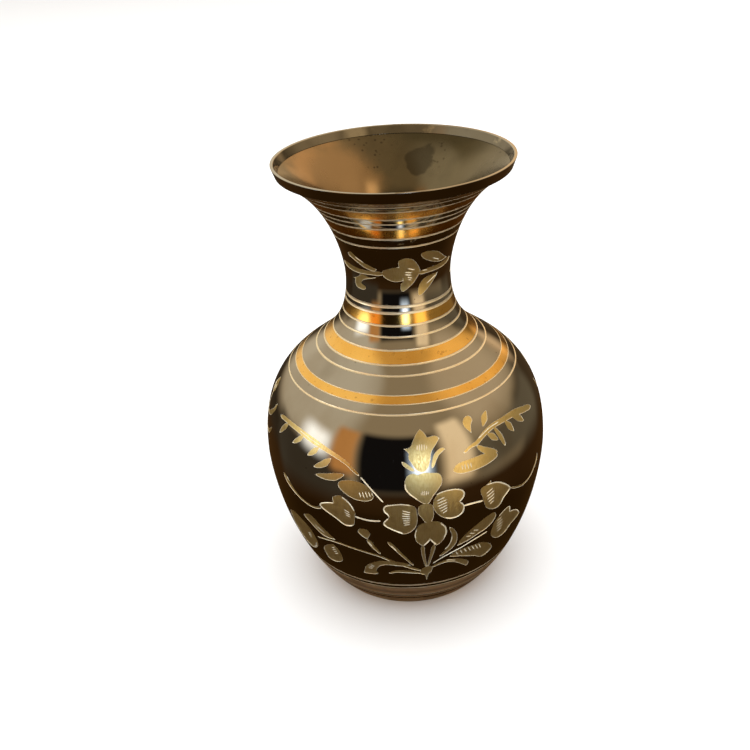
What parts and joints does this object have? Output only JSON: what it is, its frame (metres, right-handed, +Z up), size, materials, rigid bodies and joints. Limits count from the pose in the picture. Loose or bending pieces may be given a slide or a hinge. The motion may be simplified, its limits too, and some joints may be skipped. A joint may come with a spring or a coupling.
{
  "type": "flower vase",
  "caption": "Turned brass flower vase with a flared mouth, narrow neck and round body, black finish with turned lines, gilt bands and engraved flowers.",
  "frame": {"origin": "centre of the foot, on the surface that the vase stands on", "axes": "+Z up along the axis of the vase; +Y is away from the side with the main flower"},
  "size_m": [0.127, 0.127, 0.2],
  "materials": {
    "shell": "polished, black outside with cut and gilt decoration, satin inside",
    "base": "satin, lightly tarnished",
    "solder": "dull, as cooled"
  },
  "bodies": {
    "root": {"mouth_and_neck": "shell", "upper_body": "shell", "lower_body": "shell", "base_disc": "base", "neck_solder": "solder", "belly_solder": "solder", "base_solder": "solder"}
  },
  "joints": []
}
